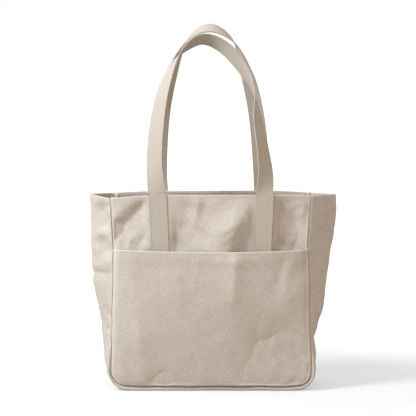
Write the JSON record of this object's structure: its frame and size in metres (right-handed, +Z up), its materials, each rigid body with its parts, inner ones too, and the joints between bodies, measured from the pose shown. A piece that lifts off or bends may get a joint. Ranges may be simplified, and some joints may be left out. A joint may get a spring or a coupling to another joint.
{
  "type": "canvas tote bag",
  "caption": "Upright canvas tote bag with a boxed gusset, an open top, a wide front patch pocket and twin long webbing shoulder handles.",
  "frame": {"origin": "middle of the flat base, on the ground", "axes": "+Z up towards the handles, the front with the pocket faces -Y, +X to the viewer's right in front of the bag"},
  "size_m": [0.463, 0.1491, 0.6844],
  "materials": {
    "canvas": "natural unbleached plain-weave cotton canvas with small dark seed flecks, matt",
    "webbing": "natural cotton webbing with fine cross ribs, matt",
    "binding_tape": "natural cotton twill binding tape, matt"
  },
  "bodies": {
    "bag": {"front_panel": "canvas", "back_panel": "canvas", "gusset": "canvas", "front_pocket": "canvas", "front_seam_binding": "binding_tape", "back_seam_binding": "binding_tape", "front_handle_left_end": "webbing", "front_handle_right_end": "webbing", "back_handle_left_end": "webbing", "back_handle_right_end": "webbing"},
    "front_handle": {"front_handle_loop": "webbing"},
    "back_handle": {"back_handle_loop": "webbing"}
  },
  "joints": [
    {"name": "front_handle_swing", "type": "hinge", "parent": "bag", "child": "front_handle", "pos_m": [0, -0.05636, 0.3663], "axis": [1, 0, 0], "range_deg": [0, 165]},
    {"name": "back_handle_swing", "type": "hinge", "parent": "bag", "child": "back_handle", "pos_m": [0, 0.05636, 0.3663], "axis": [-1, 0, 0], "range_deg": [0, 165]}
  ]
}
